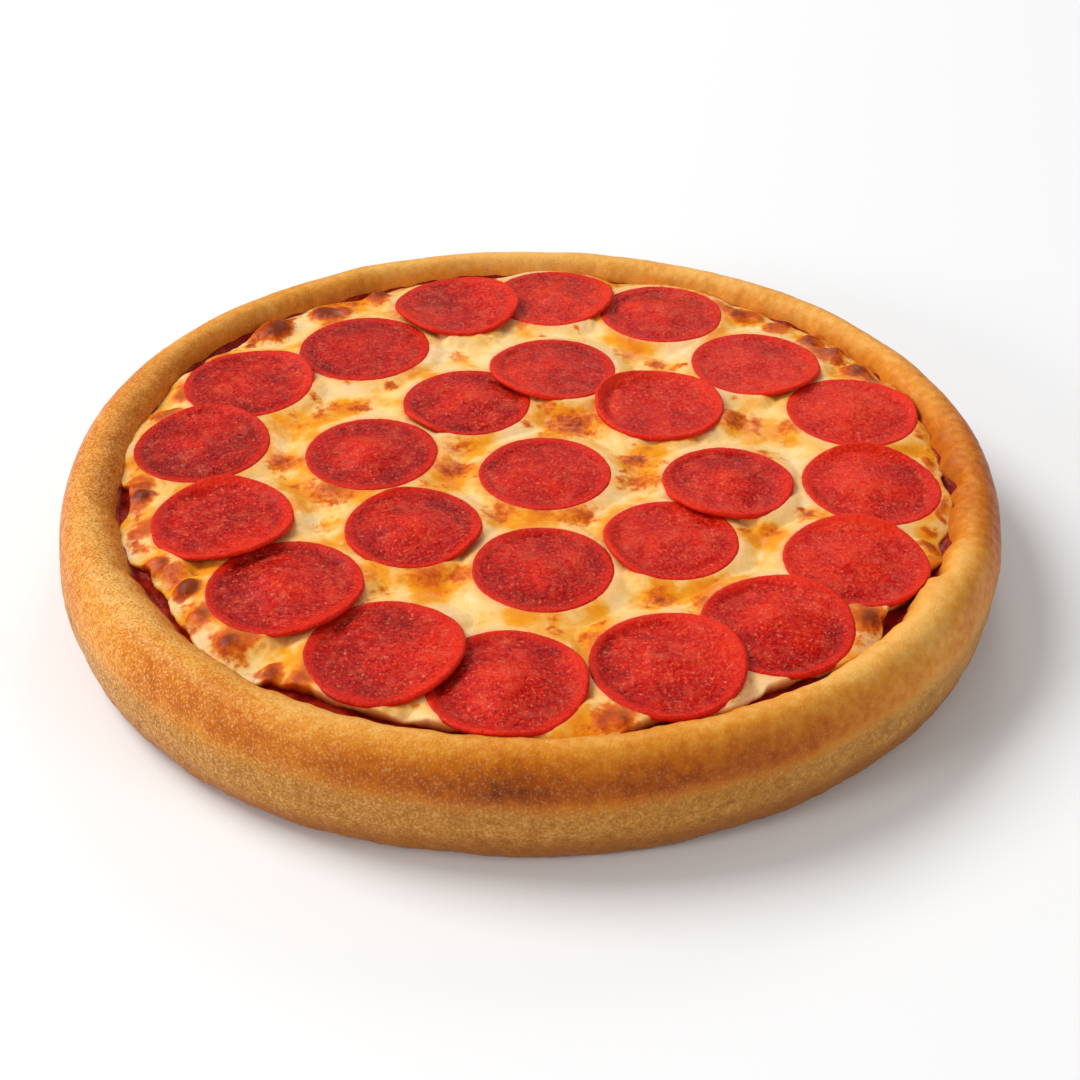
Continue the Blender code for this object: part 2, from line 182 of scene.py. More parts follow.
# The solid's top is read out to the first share of the radius. Out to the second the cheese stays under.
READ_TO = 0.965
COVER_TO = 0.96
# Gaps under a slice and over it, and how softly a slice is lifted, in segments and rings.
GROUND_GAP = 0.12 * MM
LAID_GAP = 0.2 * MM
LIFT_SOFTEN = (3, 1.5)
# A slice's raised rim starts at this share of its radius, with a valley so far inside its start.
RIM_FROM = 0.88
RIM_RISE = 0.10 * MM
VALLEY_IN = 0.09
VALLEY_WIDTH = 0.07
VALLEY_DEPTH = 0.80 * MM
LUMP_RISE = 0.60 * MM
EDGE_ROUND_FROM = 0.955
EDGE_ROUND = 0.6 * MM
GRAIN_SIZE = 1.5 * MM
GRAIN_RISE = 0.13 * MM
# Each slice is cooked a little darker or paler, and all are darker towards the left: a tone over this width.
TONE_STEP = 0.618
TONE_WIDTH = 94 * MM
# Height maps, which keep the slices from running into each other, the rim and the cheese. The rim's
# inner face is read up to a degree of its section, at each of a row of radii.
MAP_CELL = 0.6 * MM
MAP_HALF = 150 * MM
WALL_MAP_TO = 95
WALL_REACH = np.arange(118, 146, 0.4) * MM
NO_ROOF = 1.0

# Colours as a screen shows them, 0 to 255. Those of a ramp stand beside their places on it.
CRUST_BAKED = (
    (0.0, (240, 178, 86)), (0.25, (226, 145, 40)), (0.5, (202, 108, 8)),
    (0.75, (168, 76, 0)), (1.0, (112, 44, 0)),
)
CRUST_CRUMB = ((0.35, (156, 94, 28)), (0.5, (186, 126, 50)), (0.65, (214, 160, 84)))
PALE_GRAIN_AND_GLINT = (252, 208, 142)
GRAIN_DARK = (150, 76, 6)
SAUCE_STAIN = (186, 98, 20)
PORE_SHADE = (128, 74, 30)
BASE_BROWN_AND_SHADE = (150, 78, 12)
SAUCE_RED = ((0.3, (98, 8, 4)), (0.5, (140, 18, 6)), (0.7, (172, 42, 12)))
CHEESE_PALE = (
    (0.0, (253, 216, 162)), (0.38, (250, 202, 118)), (0.62, (242, 162, 26)), (1.0, (230, 126, 2)),
)
CHEESE_TOAST = ((0.0, (242, 160, 12)), (0.30, (226, 118, 2)), (0.60, (192, 74, 0)), (1.0, (118, 38, 0)))
CHEESE_OIL = (242, 132, 52)
HERB_GREEN = (120, 124, 60)
MEAT_RED = ((0.0, (226, 44, 12)), (0.35, (204, 22, 4)), (0.65, (174, 10, 2)), (1.0, (134, 6, 2)))
MEAT_PATCH = (226, 80, 50)
MEAT_FAT_AND_GLINT = (244, 142, 104)
MEAT_RIM = (226, 38, 10)


def smoothstep(values, low, high):
    share = np.clip((values - low) / (high - low), 0, 1)
    return share * share * (3 - 2 * share)


def bell(values, middle, width):
    return np.exp(-(((values - middle) / width) ** 2))


def spot(dx, dy, width):
    """1 in the middle of a round spot, less with the distance from it."""
    return np.exp(-(dx ** 2 + dy ** 2) / width ** 2)


def bell_round(degrees, middle, width):
    """A bell round the pizza, by the angle from its middle."""
    return bell((degrees - middle + 180) % 360 - 180, 0, width)


def on_circle(turns, height=0.0):
    """Points of the circle with radius 1 at a height."""
    return np.stack([np.cos(turns), np.sin(turns), 0 * turns + height], -1)


def blurred(values, sigma, axis, wrap=False):
    """Gaussian blur along one axis, sigma in samples."""
    reach = int(3 * sigma) + 1
    kernel = np.exp(-0.5 * (np.arange(-reach, reach + 1) / sigma) ** 2)
    kernel /= kernel.sum()
    pad = [(0, 0)] * values.ndim
    pad[axis] = (reach, reach)
    padded = np.pad(values, pad, mode="wrap" if wrap else "edge")
    return np.apply_along_axis(lambda v: np.convolve(v, kernel, mode="valid"), axis, padded)


def blurred_both(values, sigma):
    return blurred(blurred(values, sigma, 0), sigma, 1)


def relief(points, size, seed, octaves=3):
    """Fractal noise of about -1 to 1 at points, with features of a size in metres."""
    shifted = points.reshape(-1, 3) / size + np.array([17.3, 5.1, 9.7]) * seed
    values = [noise.fractal(p, 1.0, 2.0, octaves) for p in shifted.tolist()]
    return np.array(values).reshape(points.shape[:-1])


def solid_tree(node):
    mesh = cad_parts[node].data
    return BVHTree.FromPolygons([v.co for v in mesh.vertices], [p.vertices for p in mesh.polygons])


def height_at(tree, x, y):
    """Height of a solid's top at a place."""
    return tree.ray_cast(Vector((x, y, 0.1)), Vector((0, 0, -1)))[0].z


def normals_of(points):
    """Unit normals of a grid of points whose rows close on themselves."""
    round_slope = np.roll(points, -1, 0) - np.roll(points, 1, 0)
    across = np.cross(np.gradient(points, axis=1), round_slope)
    return across / (np.linalg.norm(across, axis=-1, keepdims=True) + 1e-12)


def piece_from(name, points, faces, values, finish, node):
    """Smooth mesh object with float values on its points, which stands for a solid."""
    mesh = bpy.data.meshes.new(name)
    mesh.from_pydata(points.tolist(), [], faces)
    mesh.shade_smooth()
    for label, numbers in values.items():
        attribute = mesh.attributes.new(label, "FLOAT", "POINT")
        attribute.data.foreach_set("value", np.ravel(numbers).astype(np.float32))
    mesh.materials.append(finish)
    made = bpy.data.objects.new(name, mesh)
    bpy.context.scene.collection.objects.link(made)
    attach(made, "root")
    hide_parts(node)


def grid_faces(rows, columns):
    """Quads of a grid whose columns close on themselves, row by row."""
    r, c = np.meshgrid(np.arange(rows - 1), np.arange(columns), indexing="ij")
    here, after = r * columns + c, r * columns + (c + 1) % columns
    return np.stack([here, here + columns, after + columns, after], -1).reshape(-1, 4).tolist()


def sample(grid, x, y):
    """Bilinear reading of a height map at points."""
    u = np.clip((x + MAP_HALF) / MAP_CELL, 0, grid.shape[0] - 1.001)
    v = np.clip((y + MAP_HALF) / MAP_CELL, 0, grid.shape[1] - 1.001)
    i, j = u.astype(int), v.astype(int)
    a, b = u - i, v - j
    low = grid[i, j] * (1 - b) + grid[i, j + 1] * b
    high = grid[i + 1, j] * (1 - b) + grid[i + 1, j + 1] * b
    return low * (1 - a) + high * a


def map_points():
    side = np.arange(-MAP_HALF, MAP_HALF + MAP_CELL / 2, MAP_CELL)
    return np.meshgrid(side, side, indexing="ij")


# Crust
def rim_surface():
    """Points of the rim by turn and by step along its section, read from the solid and softened."""
    tree = solid_tree("crust")
    middle_r, middle_z = SECTION_MIDDLE

    def hits(turn, steps):
        out = Vector((math.cos(turn), math.sin(turn), 0))
        start = out * middle_r + Vector((0, 0, middle_z))
        found = []
        for step in steps:
            ray = -out * math.cos(step) + Vector((0, 0, math.sin(step)))
            found.append(tree.ray_cast(start, ray)[3])
        return found

    coarse = np.radians(np.linspace(SECTION_FROM, SECTION_TO, SECTION_TRACK))
    far = np.array(hits(0.0, coarse))
    track = np.stack([-np.cos(coarse) * far, np.sin(coarse) * far])
    length = np.concatenate([[0], np.cumsum(np.hypot(*np.diff(track)))])
    steps = np.interp(np.linspace(0, length[-1], RIM_SECTION), length, coarse)
    turns = np.arange(RIM_TURNS) * math.tau / RIM_TURNS
    reach = np.array([hits(t, steps) for t in turns])
    reach = blurred(blurred(reach, RIM_SOFTEN[0], 0, True), RIM_SOFTEN[1], 1)
    radius = middle_r - np.cos(steps) * reach
    height = np.maximum(middle_z + np.sin(steps) * reach, 0)
    x, y = radius * np.cos(turns)[:, None], radius * np.sin(turns)[:, None]
    return turns, steps, np.stack([x, y, height], -1)


def crust_push(points, turns, step, side, right, pores):
    """How far the relief pushes each point of the crust outwards. The flat bottom stays plain."""
    inner = smoothstep(step, *INNER_START) * (1 - smoothstep(step, *INNER_END))
    scallop = relief(on_circle(turns), SCALLOP_SIZE, seed=3) * (1.0 + 1.5 * right) * MM
    push = inner * scallop[:, None]
    for size, seed, high, more in CRUST_RELIEF:
        push += relief(points, size * MM, seed, 2) * (high + more * side) * MM
    push -= pores * (PORE_DEPTH[0] + PORE_DEPTH[1] * side)
    return push * (1 - smoothstep(step, *BASE_END))


def crust_bake_and_painted_light(points, degrees, step, side):
    """How baked each point of the crust is, with painted front shade and a painted crest highlight."""
    shoulder, crest = bell(step, *SHOULDER), bell(step, *CREST)
    # Darker shoulder at the front: partly baked, partly painted shade where it faces away from the light.
    baked_and_shaded = 0.25 + 0.75 * bell_round(degrees, *BAKED_AND_SHADED_SIDE)[:, None]
    # The crest is made paler: partly its own lighter bake, partly a painted highlight.
    bake_and_painted_light = BAKE_ALL + BAKE_SHOULDER * shoulder * baked_and_shaded * (1 - 0.5 * side) + BAKE_CREST_AND_HIGHLIGHT * crest
    bake_and_painted_light += BAKE_UNDER * smoothstep(step, *UNDER_START) + BAKE_PATCHES * relief(points, 30 * MM, seed=6)
    return bake_and_painted_light + np.interp(degrees, *BAKE_ROUND, period=360)[:, None]


def crust_faces():
    """Quads of the rim's closed strip, then fans to the middle of the floor inside and of the bottom."""
    t, k = np.meshgrid(np.arange(RIM_TURNS), np.arange(RIM_SECTION - 1), indexing="ij")
    here, after = t * RIM_SECTION + k, (t + 1) % RIM_TURNS * RIM_SECTION + k
    faces = np.stack([here, here + 1, after + 1, after], -1).reshape(-1, 4).tolist()
    floor_middle = RIM_TURNS * RIM_SECTION
    for t in range(RIM_TURNS):
        faces.append((floor_middle, t * RIM_SECTION, (t + 1) % RIM_TURNS * RIM_SECTION))
    last = RIM_SECTION - 1
    for t in range(RIM_TURNS):
        faces.append((floor_middle + 1, (t + 1) % RIM_TURNS * RIM_SECTION + last, t * RIM_SECTION + last))
    return faces


def make_crust(finish):
    turns, steps, points = rim_surface()
    height = points[..., 2]
    degrees = np.degrees(turns)
    step = np.degrees(steps)[None, :] + 0 * height
    ragged = relief(on_circle(turns), 0.2, seed=8)[:, None] * SIDE_RAGGED
    side = smoothstep(step + ragged, *SIDE_START) * (1 - smoothstep(step, *SIDE_END))
    right = bell_round(degrees, *RIGHT_SIDE)
    pores = smoothstep(relief(points, PORE_SIZE, seed=5, octaves=1), 0.32, 0.6)
    push = crust_push(points, turns, step, side, right, pores)
    points = points + normals_of(points) * push[..., None]
    points[..., 2] = np.maximum(points[..., 2], 0)

    low = (1 - smoothstep(height, *STAIN_HEIGHT)) * (1 - smoothstep(step, *STAIN_END))
    grit_and_glint = GRIT[0] + GRIT[1] * bell_round(degrees, *GRITTY_GLINTING_SIDE)[:, None]
    values = {
        "bake_and_painted_light": crust_bake_and_painted_light(points, degrees, step, side),
        "side": side,
        "stain": low * (0.6 + 0.4 * right[:, None]),
        "pore": pores * side,
        "grit_and_glint": grit_and_glint + 0 * side,
        "base": smoothstep(step, *BASE_START) * (1 - smoothstep(step, *BASE_END)),
    }
    ends = np.array([[0, 0, points[:, 0, 2].mean()], [0, 0, 0]])
    values = {k: np.concatenate([np.ravel(v), [0.3, 0.8]]) for k, v in values.items()}
    flat = np.concatenate([points.reshape(-1, 3), ends])
    piece_from("crust_fine", flat, crust_faces(), values, finish, "crust")
    return turns, steps, points


def wall_map(turns, steps, points):
    """Height map of the rim's inner side, which slices rest on."""
    inner = np.degrees(steps) < WALL_MAP_TO
    radius = np.hypot(points[:, inner, 0], points[:, inner, 1])
    polar = []
    for reach, heights in zip(radius, points[:, inner, 2]):
        polar.append(np.interp(WALL_REACH, np.maximum.accumulate(reach), heights))
    polar = np.array(polar)
    x, y = map_points()
    r, turn = np.hypot(x, y), np.arctan2(y, x) % math.tau / math.tau * RIM_TURNS
    i = turn.astype(int) % RIM_TURNS
    j = np.clip((r - WALL_REACH[0]) / (WALL_REACH[1] - WALL_REACH[0]), 0, len(WALL_REACH) - 1.001)
    k = j.astype(int)
    heights = polar[i, k] * (1 - j + k) + polar[i, k + 1] * (j - k)
    return np.where(r > WALL_REACH[0], heights, 0.0)


# Slices
class Slice:
    """A slice's fine rings, its place and its heights from the solid, lifted clear of what it lies on."""

    shares = np.array(SLICE_SHARES)

    def __init__(self, number, laid):
        self.name = f"pepperoni_{number:02d}"
        self.number = number
        low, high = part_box(self.name)
        self.x, self.y = (low.x + high.x) / 2, (low.y + high.y) / 2
        self.radius = (high.x - low.x + high.y - low.y) / 4
        self.turns = np.arange(SLICE_SEGMENTS) * math.tau / SLICE_SEGMENTS
        ring = on_circle(self.turns, number)
        self.waver = 1 + 0.015 * relief(ring, 0.9, number)
        reach = self.radius * self.shares[:, None] * self.waver
        self.px = self.x + reach * np.cos(self.turns)
        self.py = self.y + reach * np.sin(self.turns)
        top = self.solid_top() + self.own_relief(ring)
        under = top - SLICE_THICKNESS
        need = np.maximum(sample(laid, self.px, self.py) + GROUND_GAP - under, 0)
        lift = np.maximum(need, blurred(blurred(need, LIFT_SOFTEN[0], 1, True), LIFT_SOFTEN[1], 0))
        self.top, self.under = top + lift, under + lift

    def own_relief(self, ring):
        """A flat raised rim of uneven width, a broken valley inside it and a lumpy middle."""
        s = self.shares[:, None] + 0 * self.px
        flat = np.stack([self.px, self.py, 0 * self.px + self.number], -1)
        inner_edge = RIM_FROM + 0.05 * relief(ring, 0.8, self.number + 80)
        self.rim = smoothstep(s, inner_edge - 0.05, inner_edge + 0.04)
        vary = np.clip(0.4 + 1.2 * relief(ring, 1.5, self.number + 60, 2), 0, 1.3)
        valley = bell(s - inner_edge, -VALLEY_IN, VALLEY_WIDTH) * vary
        lumps = relief(flat, 9 * MM, 11 + self.number, 2) * (1 - smoothstep(s, 0.72, 0.9))
        return RIM_RISE * self.rim - VALLEY_DEPTH * valley + LUMP_RISE * lumps

    def solid_top(self):
        tree = solid_tree(self.name)
        heights = np.zeros(self.px.shape)
        for index in np.ndindex(self.px.shape):
            share = min(1.0, READ_TO / self.shares[index[0]] / self.waver[index[1]])
            x = self.x + (self.px[index] - self.x) * share
            y = self.y + (self.py[index] - self.y) * share
            heights[index] = height_at(tree, x, y)
        heights = blurred(heights, SLICE_SOFTEN[0], 1, True)
        mirrored = np.concatenate([np.roll(heights[::-1], SLICE_SEGMENTS // 2, 1), heights])
        return blurred(mirrored, SLICE_SOFTEN[1], 0)[len(heights):]

    def onto(self, grid, heights, out_to, lowest):
        """Puts the slice's heights on a height map, keeping the highest or the lowest."""
        x, y = map_points()
        dx, dy = x - self.x, y - self.y
        turn = np.arctan2(dy, dx) % math.tau / math.tau * SLICE_SEGMENTS
        seg = turn.astype(int) % SLICE_SEGMENTS
        share = np.hypot(dx, dy) / self.radius / self.waver[seg]
        inside = share <= out_to
        ring = np.interp(share[inside], self.shares, np.arange(len(self.shares)))
        i = np.minimum(ring.astype(int), len(self.shares) - 2)
        s, t = seg[inside], (turn - turn.astype(int))[inside]
        after = (s + 1) % SLICE_SEGMENTS

        def along(k):
            return heights[k, s] * (1 - t) + heights[k, after] * t

        found = along(i) * (1 - ring + i) + along(i + 1) * (ring - i)
        grid[inside] = (np.minimum if lowest else np.maximum)(grid[inside], found)

    def under_rings(self):
        """Rings of the side and the underside, from the edge to the middle."""
        rings = []
        for share, drop in UNDER_RINGS:
            level = np.array([np.interp(min(share, 1.0), self.shares, row) for row in self.under.T])
            upper = np.array([np.interp(min(share, 1.0), self.shares, row) for row in self.top.T])
            reach = self.radius * share * self.waver
            x, y = self.x + reach * np.cos(self.turns), self.y + reach * np.sin(self.turns)
            rings.append(np.stack([x, y, upper + (level - upper) * drop], -1))
        return np.array(rings)

    def build(self, finish):
        s = self.shares[:, None] + 0 * self.px
        flat = np.stack([self.px, self.py, self.top], -1)
        raised = relief(flat, GRAIN_SIZE, 40 + self.number, 2) * GRAIN_RISE
        raised -= EDGE_ROUND * np.clip((s - EDGE_ROUND_FROM) / (1 - EDGE_ROUND_FROM), 0, 1) ** 2
        top = np.stack([self.px, self.py, self.top + raised], -1)
        points = np.concatenate([top, self.under_rings()])
        rows, below = len(points), len(UNDER_RINGS)
        middle = np.array([top[0].mean(0), points[-1].mean(0)])
        # How far a point lies under the slice's mean height: painted shade, darker in hollows than on tops.
        hollow_shade = (self.top.mean() - self.top) / MM
        tone = (self.number * TONE_STEP) % 1.0 - self.x / TONE_WIDTH
        values = {
            "rim": np.concatenate([self.rim, np.ones((below, SLICE_SEGMENTS))]),
            "hollow_shade": np.concatenate([hollow_shade, np.zeros((below, SLICE_SEGMENTS))]),
            "tone": np.full((rows, SLICE_SEGMENTS), tone),
        }
        values = {k: np.concatenate([np.ravel(v), [np.ravel(v)[0], 0.0]]) for k, v in values.items()}
        faces = grid_faces(rows, SLICE_SEGMENTS)
        count = rows * SLICE_SEGMENTS
        for i in range(SLICE_SEGMENTS):
            j = (i + 1) % SLICE_SEGMENTS
            faces.append((count, i, j))
            faces.append((count + 1, count - SLICE_SEGMENTS + j, count - SLICE_SEGMENTS + i))
        points = np.concatenate([points.reshape(-1, 3), middle])
        piece_from(self.name + "_fine", points, faces, values, finish, self.name)


def make_slices(finish, walls):
    """Lays the slices in order, then returns them and the map of the lowest underside at each place."""
    laid = walls.copy()
    ceiling = np.full(laid.shape, NO_ROOF)
    slices = []
    for number in LAYING_ORDER:
        made = Slice(number, laid)
        made.onto(laid, made.top + LAID_GAP, 1.0, lowest=False)
        made.onto(ceiling, made.under, COVER_TO, lowest=True)
        made.build(finish)
        slices.append(made)
    return slices, ceiling


# Cheese
def round_grid(cells):
    """Share of the radius and turn of the points of a square grid pressed into a disc."""
    side = np.linspace(-1, 1, cells + 1)
    a, b = np.meshgrid(side, side, indexing="ij")
    wide = np.abs(a) > np.abs(b)
    share = np.where(wide, a, b)
    safe_a, safe_b = np.where(a == 0, 1, a), np.where(b == 0, 1, b)
    turn = np.where(wide, math.pi / 4 * b / safe_a, math.pi / 2 - math.pi / 4 * a / safe_b)
    turn = np.where(share < 0, turn + math.pi, turn) % math.tau
    return np.abs(share), turn


def border_of(n):
    """Indexes of the border points of a grid with n cells a side, once round."""
    bottom = [(i, 0) for i in range(n)]
    right = [(n, j) for j in range(n)]
    top = [(n - i, n) for i in range(n)]
    left = [(0, n - j) for j in range(n)]
    return np.array(bottom + right + top + left)


def solid_edge(turns):
    """Radius of the solid cheese's edge at each turn, softened."""
    tree = solid_tree("cheese")
    found = []
    for t in turns:
        out = Vector((math.cos(t), math.sin(t), 0))
        hit = tree.ray_cast(out * EDGE_READ[0] + Vector((0, 0, EDGE_READ[1])), -out)[0]
        found.append(math.hypot(hit.x, hit.y))
    return blurred(np.array(found), EDGE_SOFTEN, 0, True)


def cheese_edge(turn, turns, steps, rim):
    """Radius of the fine edge and of the solid's at each point's turn.

    The fine edge is the solid's where the sauce shows, and else it lies against the rim.
    """
    fine = np.arange(EDGE_TURNS) * math.tau / EDGE_TURNS
    inner = np.degrees(steps) < WALL_TO
    wall = []
    for row in rim[:, inner]:
        wall.append(np.interp(WALL_AT, np.maximum.accumulate(row[:, 2]), np.hypot(row[:, 0], row[:, 1])))
    solid = solid_edge(fine)
    gap = np.interp(fine, turns, wall, period=math.tau) - solid
    close = 1 - smoothstep(gap, *SAUCE_GAP)
    edge = blurred(solid + close * (gap + EDGE_OVERLAP), EDGE_SOFTEN, 0, True)
    edge += relief(on_circle(fine) * EDGE_RADIUS, 7 * MM, seed=21) * EDGE_RAG * (1 - 0.75 * close)
    solid = blurred(solid, EDGE_SOFTEN, 0, True)
    return [np.interp(turn, fine, radius, period=math.tau) for radius in (edge, solid)]


def cheese_height(x, y, radius, solid_at):
    """Height of the solid's top, softened less near the edge."""
    tree = solid_tree("cheese")
    safe = np.minimum(radius, solid_at - 2.2 * MM) / np.maximum(radius, 1e-6)
    height = np.zeros(x.shape)
    for index in np.ndindex(x.shape):
        height[index] = height_at(tree, x[index] * safe[index], y[index] * safe[index])
    outer = smoothstep(radius, *SOFTEN_CHANGE)
    return blurred_both(height, SOFTEN_MIDDLE) * (1 - outer) + blurred_both(height, SOFTEN_EDGE) * outer


def cheese_lumps(x, y):
    """The browned lumps near the edge: how brown, how blistered, and their domes in mm."""
    brown, blister, dome = np.zeros(x.shape), np.zeros(x.shape), np.zeros(x.shape)
    for angle, at, width, tall in EDGE_LUMPS:
        out = math.radians(angle)
        near = spot(x - at * MM * math.cos(out), y - at * MM * math.sin(out), width * MM * LUMP_SPREAD)
        blob = smoothstep(near, 0.12, 0.70)
        brown = np.maximum(brown, (0.45 * near + 0.38 * blob) * (0.80 + 0.12 * tall))
        blister = np.maximum(blister, near)
        dome = np.maximum(dome, blob * tall)
    return brown, blister, dome


def cheese_browning(x, y, flat, turn, inward):
    """How brown, blistered and yellow the cheese is, and its rise in mm on lumps, strip and bubbles."""
    brown, blister, dome = cheese_lumps(x, y)
    blobs = relief(flat, 6.5 * MM, seed=22)
    strip = bell(inward / MM - 2.0 * blobs, STRIP_INWARD, STRIP_WIDTH) * smoothstep(blobs, -0.25, 0.35)
    strip *= np.interp(np.degrees(turn), *EDGE_BROWNING, period=360)
    brown = np.maximum(brown, strip)
    blister = np.maximum(blister, strip * 0.9)
    for sx, sy, width, dark in TOASTED_SPOTS:
        near = spot(x - sx * MM, (y - sy * MM) * SPOT_FLAT, width * SPOT_SPREAD * MM)
        brown = np.maximum(brown, near * dark * 0.9)
        blister = np.maximum(blister, near * 0.35)
    brown = np.maximum(brown, smoothstep(relief(flat, 9 * MM, seed=25), 0.28, 0.75) * 0.45)
    brown += 0.30 * relief(flat, 5 * MM, seed=23) * smoothstep(brown, 0.1, 0.5)
    brown = np.clip(brown, 0, 1.2)
    halo = (1.5 - 0.9 * smoothstep(np.hypot(x, y), *HALO_CHANGE)) * blurred_both(brown, HALO_SOFTEN)
    yellow = np.clip(0.26 + 0.62 * relief(flat, 14 * MM, seed=26) + halo, 0, 1)
    bubbles = np.clip(relief(flat, 8.5 * MM, seed=27, octaves=1) + 0.35, 0, None)
    brown += blister * (bubbles - 0.35) * 0.9
    rise = blister * (bubbles * 1.9 + 0.1) + dome * LUMP_DOME + strip * bubbles * 0.7
    return brown, blister, yellow, rise


def swell_to_slices(x, y, height, slices, ceiling):
    """Cheese swells up against the slices' edges and stays under them. Also gives the way to the nearest."""
    away = np.full(x.shape, 1.0)
    swollen = height.copy()
    for s in slices:
        off = np.hypot(x - s.x, y - s.y) - s.radius
        away = np.minimum(away, off)
        turned = np.arctan2(y - s.y, x - s.x) % math.tau
        gap = np.interp(turned, s.turns, s.top[-1], period=math.tau) - CLING_UNDER - height
        climb = np.clip(gap, 0, None) * (1 - smoothstep(gap, 0.6 * CLING_RISE, CLING_RISE))
        swollen = np.maximum(swollen, height + climb * bell(np.maximum(off, 0), 0, CLING_REACH))
    roof = sample(np.where(ceiling > 0.5, 0.2, ceiling), x, y)
    return np.where(roof < 0.1, np.minimum(swollen, roof - UNDER_SLICE), swollen), away


def cheese_side(turns, edge, height):
    """Rows of points of the rounded brim and the side, down to the cheese's bottom."""
    rows = []
    for k in range(1, CHEESE_SIDE + 1):
        swing = math.pi / 2 * min(k / (CHEESE_SIDE - 1), 1.0)
        reach = edge - CHEESE_BRIM * (1 - math.sin(swing))
        z = np.maximum(height - CHEESE_BRIM * (1 - math.cos(swing)), CHEESE_BOTTOM)
        if k == CHEESE_SIDE:
            z = np.full(len(turns), CHEESE_BOTTOM)
            reach = edge - 0.8 * MM
        rows.append(np.stack([reach * np.cos(turns), reach * np.sin(turns), z], -1))
    return rows


def cheese_faces(border):
    """Quads of the disc, then of the side's rows, and one face under them."""
    n = CHEESE_CELLS + 1
    i, j = np.meshgrid(np.arange(n - 1), np.arange(n - 1), indexing="ij")
    here = i * n + j
    faces = np.stack([here, here + n, here + n + 1, here + 1], -1).reshape(-1, 4).tolist()
    last = (border[0] * n + border[1]).tolist()
    count = len(last)
    for k in range(CHEESE_SIDE):
        now = list(range(n * n + k * count, n * n + (k + 1) * count))
        for q in range(count):
            after = (q + 1) % count
            faces.append((last[after], last[q], now[q], now[after]))
        last = now
    faces.append(tuple(reversed(last)))
    return faces


def make_cheese(finish, slices, ceiling, turns, steps, rim):
    share, turn = round_grid(CHEESE_CELLS)
    edge_at, solid_at = cheese_edge(turn, turns, steps, rim)
    radius = share * (edge_at - CHEESE_BRIM)
    inward = edge_at - radius
    x, y = radius * np.cos(turn), radius * np.sin(turn)
    flat = np.stack([x, y, 0 * x], -1)
    brown, blister, yellow, rise = cheese_browning(x, y, flat, turn, inward)
    height = cheese_height(x, y, radius, solid_at) + rise * MM
    swells = relief(flat, 11 * MM, seed=28, octaves=2) * 0.35 * MM
    height += swells + relief(flat, 3.0 * MM, seed=29, octaves=2) * 0.16 * MM
    height += smoothstep(brown, 0.3, 0.9) * 0.25 * MM
    height -= np.exp(-inward / (1.6 * MM)) * 0.9 * MM
    height, away = swell_to_slices(x, y, height, slices, ceiling)

    border = tuple(border_of(CHEESE_CELLS).T)
    top = np.stack([x, y, height], -1).reshape(-1, 3)
    points = np.concatenate([top, *cheese_side(turn[border], edge_at[border], height[border])])
    oil = np.exp(-np.maximum(away, 0) / OIL_REACH)
    values = {"brown": brown, "yellow": yellow, "oil": oil, "blister": blister}
    for label, value in values.items():
        values[label] = np.concatenate([np.ravel(value), np.tile(value[border], CHEESE_SIDE)])
    piece_from("cheese_fine", points, cheese_faces(border), values, finish, "cheese")


# Sauce
def make_sauce(finish, turns, steps, rim):
    inner = np.degrees(steps) < WALL_TO
    radius, height = np.hypot(rim[:, inner, 0], rim[:, inner, 1]), rim[:, inner, 2]
    climb = SAUCE_CLIMB + relief(on_circle(turns) * 0.13, 9 * MM, seed=31, octaves=2) * 1.1 * MM
    wall = np.array([np.interp(c, np.maximum.accumulate(h), r) for c, h, r in zip(climb, height, radius)])
    share = np.linspace(0, 1, SAUCE_RINGS)[:, None]
    r = SAUCE_FROM + (wall + SAUCE_OVERLAP - SAUCE_FROM) * share
    x, y = r * np.cos(turns), r * np.sin(turns)
    flat = np.stack([x, y, 0 * x], -1)
    lumps = relief(flat, 4.5 * MM, seed=32) * 0.55 * MM
    lumps += np.abs(relief(flat, 2.2 * MM, seed=33, octaves=1)) * 0.35 * MM
    rise = smoothstep(share, 0.86, 1.0) + 0 * x
    z = SAUCE_TOP + lumps * (1 - 0.5 * rise) + (climb - SAUCE_TOP) * rise
    lower = np.stack([x[-1], y[-1], z[-1] - 3.5 * MM], -1)[None]
    inside = np.stack([x[0], y[0], z[0] * 0 + SAUCE_TOP - 2 * MM], -1)[None]
    points = np.concatenate([inside, np.stack([x, y, z], -1), lower])
    faces = grid_faces(len(points), RIM_TURNS)
    start = (len(points) - 1) * RIM_TURNS
    for i in range(RIM_TURNS):
        k = (i + 1) % RIM_TURNS
        faces.append((i, k, start + k, start + i))
    piece_from("sauce_fine", points.reshape(-1, 3), faces, {}, finish, "sauce")


def linear(colour):
    """Screen colour, 0 to 255, as linear light."""
    parts = [c / 255 for c in colour]
    return tuple(p / 12.92 if p <= 0.04045 else ((p + 0.055) / 1.055) ** 2.4 for p in parts) + (1.0,)


